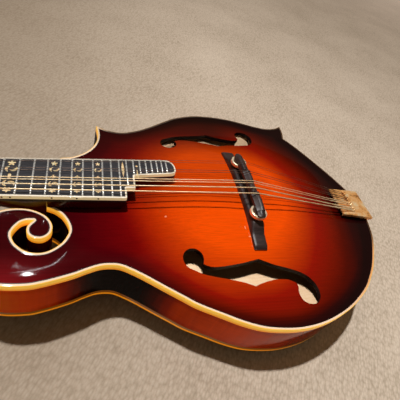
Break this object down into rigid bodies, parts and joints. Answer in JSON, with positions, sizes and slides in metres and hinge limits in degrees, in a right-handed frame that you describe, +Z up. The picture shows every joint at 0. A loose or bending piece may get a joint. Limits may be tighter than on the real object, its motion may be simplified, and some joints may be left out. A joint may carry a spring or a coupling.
{
  "type": "f-style mandolin",
  "caption": "Carved-top mandolin with a scroll, two body points, f-shaped sound holes, a raised fingerboard and an adjustable bridge, lying on its back.",
  "frame": {"origin": "centre of the bounding box at floor level, under the back of the body", "axes": "+X along the instrument toward the tail, +Y toward the treble side, +Z up away from the floor"},
  "size_m": [0.6876, 0.2516, 0.0873],
  "materials": {
    "top_lacquer": "gloss sunburst lacquer over spruce, orange middle to black edge",
    "back_lacquer": "gloss sunburst lacquer over figured maple",
    "rim_lacquer": "gloss lacquer over maple, amber to black",
    "aged_binding": "aged ivory colour, yellowed on the sides",
    "bare_maple": "bare sanded wood",
    "bare_spruce": "bare sanded wood",
    "neck_lacquer": "dark red brown gloss lacquer",
    "ebony": "oiled, slightly grey",
    "black_veneer": "black gloss lacquer",
    "bone": "satin bone",
    "gold_plate": "worn gold plate",
    "brass_screw": "bright brass",
    "steel": "plain steel",
    "plain_steel": "bright drawn wire",
    "wound_bronze": "bronze wound wire",
    "pearl_button": "pearl coloured button on a plated shaft"
  },
  "bodies": {
    "mandolin": {"fretboard": "ebony", "fretboard_binding": "aged_binding", "nut": "bone", "head_veneer": "black_veneer", "truss_rod_cover": "black_veneer", "tuner_plate_treble": "gold_plate", "tuner_plate_bass": "gold_plate", "neck": "neck_lacquer", "truss_rod": "steel", "top_plate": "top_lacquer", "back_plate": "back_lacquer", "top_binding": "aged_binding", "back_binding": "aged_binding", "rim": "rim_lacquer", "head_block": "bare_maple", "tail_block": "bare_maple", "upper_point_block": "bare_maple", "lower_point_block": "bare_maple", "top_lining": "bare_maple", "back_lining": "bare_maple", "tone_bar_treble": "bare_spruce", "tone_bar_bass": "bare_spruce", "bridge_base": "ebony", "bridge_post_bass": "brass_screw", "bridge_post_treble": "brass_screw", "tailpiece": "gold_plate", "end_pin": "gold_plate", "tail_screw_bass": "gold_plate", "tail_screw_treble": "gold_plate", "string_1": "plain_steel", "string_2": "plain_steel", "string_3": "plain_steel", "string_4": "plain_steel", "string_5": "wound_bronze", "string_6": "wound_bronze", "string_7": "wound_bronze", "string_8": "wound_bronze"},
    "string_post_treble_1": {"string_post_treble_1": "gold_plate"},
    "tuner_shaft_treble_1": {"tuner_shaft_treble_1": "pearl_button"},
    "string_post_treble_2": {"string_post_treble_2": "gold_plate"},
    "tuner_shaft_treble_2": {"tuner_shaft_treble_2": "pearl_button"},
    "string_post_treble_3": {"string_post_treble_3": "gold_plate"},
    "tuner_shaft_treble_3": {"tuner_shaft_treble_3": "pearl_button"},
    "string_post_treble_4": {"string_post_treble_4": "gold_plate"},
    "tuner_shaft_treble_4": {"tuner_shaft_treble_4": "pearl_button"},
    "string_post_bass_1": {"string_post_bass_1": "gold_plate"},
    "tuner_shaft_bass_1": {"tuner_shaft_bass_1": "pearl_button"},
    "string_post_bass_2": {"string_post_bass_2": "gold_plate"},
    "tuner_shaft_bass_2": {"tuner_shaft_bass_2": "pearl_button"},
    "string_post_bass_3": {"string_post_bass_3": "gold_plate"},
    "tuner_shaft_bass_3": {"tuner_shaft_bass_3": "pearl_button"},
    "string_post_bass_4": {"string_post_bass_4": "gold_plate"},
    "tuner_shaft_bass_4": {"tuner_shaft_bass_4": "pearl_button"},
    "saddle": {"bridge_saddle": "ebony"},
    "thumbwheel_bass": {"thumbwheel_bass": "brass_screw"},
    "thumbwheel_treble": {"thumbwheel_treble": "brass_screw"}
  },
  "joints": [
    {"name": "saddle_lift", "type": "slide", "parent": "mandolin", "child": "saddle", "axis": [0.0419, 0, 0.9991], "range_m": [-0.0015, 0.0015], "deforming": ["string_1", "string_2", "string_3", "string_4", "string_5", "string_6", "string_7", "string_8"]},
    {"name": "thumbwheel_bass_turn", "type": "hinge", "parent": "saddle", "child": "thumbwheel_bass", "pos_m": [0.18305, -0.03612, 0.07857], "axis": [0.0419, 0, 0.9991], "range_deg": [-690, 690]},
    {"name": "thumbwheel_treble_turn", "type": "hinge", "parent": "saddle", "child": "thumbwheel_treble", "pos_m": [0.18305, 0.02388, 0.07857], "axis": [0.0419, 0, 0.9991], "range_deg": [-690, 690]},
    {"name": "tuner_treble_1_turn", "type": "hinge", "parent": "mandolin", "child": "tuner_shaft_treble_1", "pos_m": [-0.19838, 0.01333, 0.0374], "axis": [0, 1, 0], "continuous": true},
    {"name": "post_treble_1_turn", "type": "hinge", "parent": "mandolin", "child": "string_post_treble_1", "pos_m": [-0.21128, 0.01333, 0.05408], "axis": [-0.2831, 0, 0.9591], "continuous": true},
    {"name": "tuner_treble_2_turn", "type": "hinge", "parent": "mandolin", "child": "tuner_shaft_treble_2", "pos_m": [-0.22043, 0.01333, 0.03089], "axis": [0, 1, 0], "continuous": true},
    {"name": "post_treble_2_turn", "type": "hinge", "parent": "mandolin", "child": "string_post_treble_2", "pos_m": [-0.23333, 0.01333, 0.04757], "axis": [-0.2831, 0, 0.9591], "continuous": true},
    {"name": "tuner_treble_3_turn", "type": "hinge", "parent": "mandolin", "child": "tuner_shaft_treble_3", "pos_m": [-0.24249, 0.01333, 0.02438], "axis": [0, 1, 0], "continuous": true},
    {"name": "post_treble_3_turn", "type": "hinge", "parent": "mandolin", "child": "string_post_treble_3", "pos_m": [-0.25539, 0.01333, 0.04106], "axis": [-0.2831, 0, 0.9591], "continuous": true},
    {"name": "tuner_treble_4_turn", "type": "hinge", "parent": "mandolin", "child": "tuner_shaft_treble_4", "pos_m": [-0.26455, 0.01333, 0.01787], "axis": [0, 1, 0], "continuous": true},
    {"name": "post_treble_4_turn", "type": "hinge", "parent": "mandolin", "child": "string_post_treble_4", "pos_m": [-0.27745, 0.01333, 0.03455], "axis": [-0.2831, 0, 0.9591], "continuous": true},
    {"name": "tuner_bass_1_turn", "type": "hinge", "parent": "mandolin", "child": "tuner_shaft_bass_1", "pos_m": [-0.19838, -0.01859, 0.0374], "axis": [0, -1, 0], "continuous": true},
    {"name": "post_bass_1_turn", "type": "hinge", "parent": "mandolin", "child": "string_post_bass_1", "pos_m": [-0.21128, -0.01859, 0.05408], "axis": [-0.2831, 0, 0.9591], "continuous": true},
    {"name": "tuner_bass_2_turn", "type": "hinge", "parent": "mandolin", "child": "tuner_shaft_bass_2", "pos_m": [-0.22043, -0.01859, 0.03089], "axis": [0, -1, 0], "continuous": true},
    {"name": "post_bass_2_turn", "type": "hinge", "parent": "mandolin", "child": "string_post_bass_2", "pos_m": [-0.23333, -0.01859, 0.04757], "axis": [-0.2831, 0, 0.9591], "continuous": true},
    {"name": "tuner_bass_3_turn", "type": "hinge", "parent": "mandolin", "child": "tuner_shaft_bass_3", "pos_m": [-0.24249, -0.01859, 0.02438], "axis": [0, -1, 0], "continuous": true},
    {"name": "post_bass_3_turn", "type": "hinge", "parent": "mandolin", "child": "string_post_bass_3", "pos_m": [-0.25539, -0.01859, 0.04106], "axis": [-0.2831, 0, 0.9591], "continuous": true},
    {"name": "tuner_bass_4_turn", "type": "hinge", "parent": "mandolin", "child": "tuner_shaft_bass_4", "pos_m": [-0.26455, -0.01859, 0.01787], "axis": [0, -1, 0], "continuous": true},
    {"name": "post_bass_4_turn", "type": "hinge", "parent": "mandolin", "child": "string_post_bass_4", "pos_m": [-0.27745, -0.01859, 0.03455], "axis": [-0.2831, 0, 0.9591], "continuous": true}
  ],
  "couplings": [
    {"joint": "thumbwheel_bass_turn", "follows": "saddle_lift", "rad_per_m": 7854},
    {"joint": "thumbwheel_treble_turn", "follows": "saddle_lift", "rad_per_m": 7854},
    {"joint": "post_treble_1_turn", "follows": "tuner_treble_1_turn", "ratio": -0.071429},
    {"joint": "post_treble_2_turn", "follows": "tuner_treble_2_turn", "ratio": -0.071429},
    {"joint": "post_treble_3_turn", "follows": "tuner_treble_3_turn", "ratio": -0.071429},
    {"joint": "post_treble_4_turn", "follows": "tuner_treble_4_turn", "ratio": -0.071429},
    {"joint": "post_bass_1_turn", "follows": "tuner_bass_1_turn", "ratio": 0.071429},
    {"joint": "post_bass_2_turn", "follows": "tuner_bass_2_turn", "ratio": 0.071429},
    {"joint": "post_bass_3_turn", "follows": "tuner_bass_3_turn", "ratio": 0.071429},
    {"joint": "post_bass_4_turn", "follows": "tuner_bass_4_turn", "ratio": 0.071429}
  ]
}
